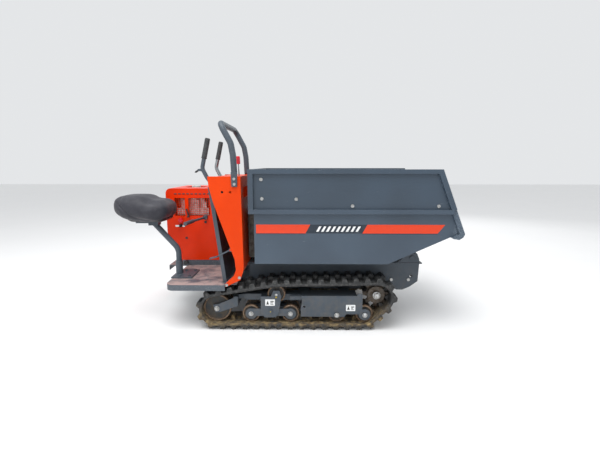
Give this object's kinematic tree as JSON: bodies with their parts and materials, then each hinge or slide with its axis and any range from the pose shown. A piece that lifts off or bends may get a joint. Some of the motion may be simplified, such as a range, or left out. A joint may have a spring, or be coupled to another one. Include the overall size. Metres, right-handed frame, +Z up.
{
  "type": "power wheelbarrow",
  "caption": "Tracked ride-on mini dumper with a forward-tipping bucket, operator's platform, swivel seat, console with levers and a hooded engine.",
  "frame": {"origin": "on the ground below the centre of the machine's box", "axes": "+X forward to the bucket's lip, +Y to the machine's left, +Z up"},
  "size_m": [1.842, 0.76, 1.0785],
  "materials": {
    "track_rubber": "matt, mud on the inner side",
    "wheel_steel": "worn and muddy",
    "frame_paint": "satin black powder coat",
    "bucket_paint": "dark grey-blue powder coat",
    "orange_paint": "gloss orange powder coat",
    "bolt_steel": "zinc plated",
    "chrome_rod": "hard chrome",
    "deck_grit": "coarse anti-slip coating",
    "seat_cover": "charcoal synthetic leather",
    "black_plastic": "moulded, satin",
    "red_plastic": "moulded, gloss",
    "engine_alloy": "cast",
    "cooler_fins": "raw fins, dusty"
  },
  "bodies": {
    "chassis": {"chassis_frame": "frame_paint", "platform": "deck_grit", "seat_socket": "frame_paint", "console_side_right": "orange_paint", "console_side_left": "orange_paint", "console_front_panel": "orange_paint", "console_rear_cover": "frame_paint", "handlebar": "frame_paint", "engine_hood": "orange_paint", "engine": "engine_alloy", "fuel_tank": "black_plastic", "oil_tank": "frame_paint", "oil_cooler": "cooler_fins", "frame_bolts": "bolt_steel", "track_frame_right": "frame_paint", "track_guard_right": "frame_paint", "travel_motor_right": "frame_paint", "track_belt_right": "track_rubber", "track_frame_left": "frame_paint", "track_guard_left": "frame_paint", "travel_motor_left": "frame_paint", "track_belt_left": "track_rubber"},
    "sprocket_right": {"drive_sprocket_right": "wheel_steel"},
    "idler_right": {"idler_wheel_right": "wheel_steel"},
    "top_roller_right": {"top_roller_right": "wheel_steel"},
    "bogie_right": {"bogie_arm_right": "frame_paint"},
    "tension_fork_right": {"tension_fork_right": "frame_paint"},
    "bogie_roller_rear_right": {"bogie_roller_rear_right": "wheel_steel"},
    "bogie_roller_front_right": {"bogie_roller_front_right": "wheel_steel"},
    "fixed_roller_rear_right": {"fixed_roller_rear_right": "wheel_steel"},
    "fixed_roller_front_right": {"fixed_roller_front_right": "wheel_steel"},
    "sprocket_left": {"drive_sprocket_left": "wheel_steel"},
    "idler_left": {"idler_wheel_left": "wheel_steel"},
    "top_roller_left": {"top_roller_left": "wheel_steel"},
    "bogie_left": {"bogie_arm_left": "frame_paint"},
    "tension_fork_left": {"tension_fork_left": "frame_paint"},
    "bogie_roller_rear_left": {"bogie_roller_rear_left": "wheel_steel"},
    "bogie_roller_front_left": {"bogie_roller_front_left": "wheel_steel"},
    "fixed_roller_rear_left": {"fixed_roller_rear_left": "wheel_steel"},
    "fixed_roller_front_left": {"fixed_roller_front_left": "wheel_steel"},
    "bucket": {"bucket_tub": "bucket_paint", "extension_boards": "bucket_paint", "bucket_bolts": "bolt_steel"},
    "cylinder_barrel": {"cylinder_barrel": "frame_paint"},
    "cylinder_rod": {"cylinder_rod": "chrome_rod"},
    "steering_lever_right": {"steering_lever_right": "frame_paint", "lever_grip_right": "black_plastic"},
    "steering_lever_left": {"steering_lever_left": "bolt_steel", "lever_grip_left": "black_plastic"},
    "lever_trigger": {"lever_trigger": "black_plastic"},
    "tip_lever": {"tip_lever": "bolt_steel", "tip_lever_knob": "red_plastic"},
    "foot_pedal": {"foot_pedal": "bolt_steel"},
    "seat": {"seat_post": "frame_paint", "seat_cushion": "seat_cover"},
    "throttle_lever": {"throttle_lever": "black_plastic"},
    "parking_brake_lever": {"parking_brake_lever": "frame_paint"},
    "ignition_key": {"ignition_key": "bolt_steel"},
    "stop_button": {"stop_button": "red_plastic"},
    "hood_latch_knob": {"hood_latch_knob": "black_plastic"}
  },
  "joints": [
    {"name": "track_drive_right", "type": "hinge", "parent": "chassis", "child": "sprocket_right", "pos_m": [0.495, -0.286, 0.176], "axis": [0, 1, 0], "continuous": true, "deforming": ["track_belt_right"]},
    {"name": "bogie_rock_right", "type": "hinge", "parent": "chassis", "child": "bogie_right", "pos_m": [-0.065, -0.286, 0.0966], "axis": [0, 1, 0], "range_deg": [-3, 3], "deforming": ["track_belt_right"]},
    {"name": "track_tension_right", "type": "slide", "parent": "chassis", "child": "tension_fork_right", "axis": [1, 0, 0], "range_m": [0, 0.02], "deforming": ["track_belt_right"]},
    {"name": "idler_spin_right", "type": "hinge", "parent": "tension_fork_right", "child": "idler_right", "pos_m": [-0.35067, -0.286, 0.108], "axis": [0, 1, 0], "continuous": true},
    {"name": "top_roller_spin_right", "type": "hinge", "parent": "chassis", "child": "top_roller_right", "pos_m": [-0.035, -0.286, 0.187], "axis": [0, 1, 0], "continuous": true},
    {"name": "bogie_roller_rear_spin_right", "type": "hinge", "parent": "bogie_right", "child": "bogie_roller_rear_right", "pos_m": [-0.1693, -0.286, 0.0804], "axis": [0, 1, 0], "continuous": true},
    {"name": "bogie_roller_front_spin_right", "type": "hinge", "parent": "bogie_right", "child": "bogie_roller_front_right", "pos_m": [0.0393, -0.286, 0.0804], "axis": [0, 1, 0], "continuous": true},
    {"name": "fixed_roller_rear_spin_right", "type": "hinge", "parent": "chassis", "child": "fixed_roller_rear_right", "pos_m": [0.283, -0.286, 0.0804], "axis": [0, 1, 0], "continuous": true},
    {"name": "fixed_roller_front_spin_right", "type": "hinge", "parent": "chassis", "child": "fixed_roller_front_right", "pos_m": [0.43, -0.286, 0.0804], "axis": [0, 1, 0], "continuous": true},
    {"name": "track_drive_left", "type": "hinge", "parent": "chassis", "child": "sprocket_left", "pos_m": [0.495, 0.286, 0.176], "axis": [0, 1, 0], "continuous": true, "deforming": ["track_belt_left"]},
    {"name": "bogie_rock_left", "type": "hinge", "parent": "chassis", "child": "bogie_left", "pos_m": [-0.065, 0.286, 0.0966], "axis": [0, 1, 0], "range_deg": [-3, 3], "deforming": ["track_belt_left"]},
    {"name": "track_tension_left", "type": "slide", "parent": "chassis", "child": "tension_fork_left", "axis": [1, 0, 0], "range_m": [0, 0.02], "deforming": ["track_belt_left"]},
    {"name": "idler_spin_left", "type": "hinge", "parent": "tension_fork_left", "child": "idler_left", "pos_m": [-0.35067, 0.286, 0.108], "axis": [0, 1, 0], "continuous": true},
    {"name": "top_roller_spin_left", "type": "hinge", "parent": "chassis", "child": "top_roller_left", "pos_m": [-0.035, 0.286, 0.187], "axis": [0, 1, 0], "continuous": true},
    {"name": "bogie_roller_rear_spin_left", "type": "hinge", "parent": "bogie_left", "child": "bogie_roller_rear_left", "pos_m": [-0.1693, 0.286, 0.0804], "axis": [0, 1, 0], "continuous": true},
    {"name": "bogie_roller_front_spin_left", "type": "hinge", "parent": "bogie_left", "child": "bogie_roller_front_left", "pos_m": [0.0393, 0.286, 0.0804], "axis": [0, 1, 0], "continuous": true},
    {"name": "fixed_roller_rear_spin_left", "type": "hinge", "parent": "chassis", "child": "fixed_roller_rear_left", "pos_m": [0.283, 0.286, 0.0804], "axis": [0, 1, 0], "continuous": true},
    {"name": "fixed_roller_front_spin_left", "type": "hinge", "parent": "chassis", "child": "fixed_roller_front_left", "pos_m": [0.43, 0.286, 0.0804], "axis": [0, 1, 0], "continuous": true},
    {"name": "bucket_tip", "type": "hinge", "parent": "chassis", "child": "bucket", "pos_m": [0.715, 0, 0.345], "axis": [0, 1, 0], "range_deg": [0, 70]},
    {"name": "cylinder_swing", "type": "hinge", "parent": "chassis", "child": "cylinder_barrel", "pos_m": [0.283, 0, 0.223], "axis": [0, 1, 0], "range_deg": [0, 2.88]},
    {"name": "cylinder_stroke", "type": "slide", "parent": "cylinder_barrel", "child": "cylinder_rod", "axis": [0.9229, 0, 0.385], "range_m": [0, 0.05903]},
    {"name": "steering_right", "type": "hinge", "parent": "chassis", "child": "steering_lever_right", "pos_m": [-0.345, -0.314, 0.735], "axis": [0, 1, 0], "range_deg": [-10, 10], "stiffness_Nm_per_rad": 8},
    {"name": "steering_left", "type": "hinge", "parent": "chassis", "child": "steering_lever_left", "pos_m": [-0.345, -0.004, 0.735], "axis": [0, 1, 0], "range_deg": [-10, 10], "stiffness_Nm_per_rad": 8},
    {"name": "trigger", "type": "hinge", "parent": "steering_lever_right", "child": "lever_trigger", "pos_m": [-0.426, -0.314, 0.834], "axis": [0, 1, 0], "range_deg": [0, 18], "stiffness_Nm_per_rad": 0.2},
    {"name": "tip_control", "type": "hinge", "parent": "chassis", "child": "tip_lever", "pos_m": [-0.232, -0.25, 0.776], "axis": [0, 1, 0], "range_deg": [-15, 15], "stiffness_Nm_per_rad": 1},
    {"name": "pedal", "type": "hinge", "parent": "chassis", "child": "foot_pedal", "pos_m": [-0.266, -0.348, 0.428], "axis": [0, 1, 0], "range_deg": [-12, 0], "stiffness_Nm_per_rad": 8, "springref_deg": 6.88},
    {"name": "seat_swivel", "type": "hinge", "parent": "chassis", "child": "seat", "pos_m": [-0.594, -0.185, 0.29], "axis": [0, 0, 1], "range_deg": [0, 90]},
    {"name": "throttle", "type": "hinge", "parent": "chassis", "child": "throttle_lever", "pos_m": [-0.602, 0.017, 0.592], "axis": [0, 1, 0], "range_deg": [-60, 0]},
    {"name": "parking_brake", "type": "hinge", "parent": "chassis", "child": "parking_brake_lever", "pos_m": [-0.488, 0, 0.546], "axis": [0, 1, 0], "range_deg": [-30, 0]},
    {"name": "key_turn", "type": "hinge", "parent": "chassis", "child": "ignition_key", "pos_m": [-0.641, 0.01, 0.495], "axis": [0, -1, 0], "range_deg": [-60, 30]},
    {"name": "stop_press", "type": "slide", "parent": "chassis", "child": "stop_button", "axis": [0, 1, 0], "range_m": [0, 0.005], "stiffness_N_per_m": 400},
    {"name": "hood_latch", "type": "hinge", "parent": "chassis", "child": "hood_latch_knob", "pos_m": [-0.617, 0.01, 0.265], "axis": [0, -1, 0], "range_deg": [0, 90]}
  ],
  "couplings": [
    {"joint": "idler_spin_right", "follows": "track_drive_right", "ratio": 0.94054},
    {"joint": "top_roller_spin_right", "follows": "track_drive_right", "ratio": 1.4622},
    {"joint": "bogie_roller_rear_spin_right", "follows": "track_drive_right", "ratio": 1.5},
    {"joint": "bogie_roller_front_spin_right", "follows": "track_drive_right", "ratio": 1.5},
    {"joint": "fixed_roller_rear_spin_right", "follows": "track_drive_right", "ratio": 1.5},
    {"joint": "fixed_roller_front_spin_right", "follows": "track_drive_right", "ratio": 1.5},
    {"joint": "idler_spin_left", "follows": "track_drive_left", "ratio": 0.94054},
    {"joint": "top_roller_spin_left", "follows": "track_drive_left", "ratio": 1.4622},
    {"joint": "bogie_roller_rear_spin_left", "follows": "track_drive_left", "ratio": 1.5},
    {"joint": "bogie_roller_front_spin_left", "follows": "track_drive_left", "ratio": 1.5},
    {"joint": "fixed_roller_rear_spin_left", "follows": "track_drive_left", "ratio": 1.5},
    {"joint": "fixed_roller_front_spin_left", "follows": "track_drive_left", "ratio": 1.5},
    {"joint": "cylinder_swing", "follows": "bucket_tip", "ratio": 0.040368},
    {"joint": "cylinder_stroke", "follows": "bucket_tip", "m_per_rad": 0.048152}
  ]
}
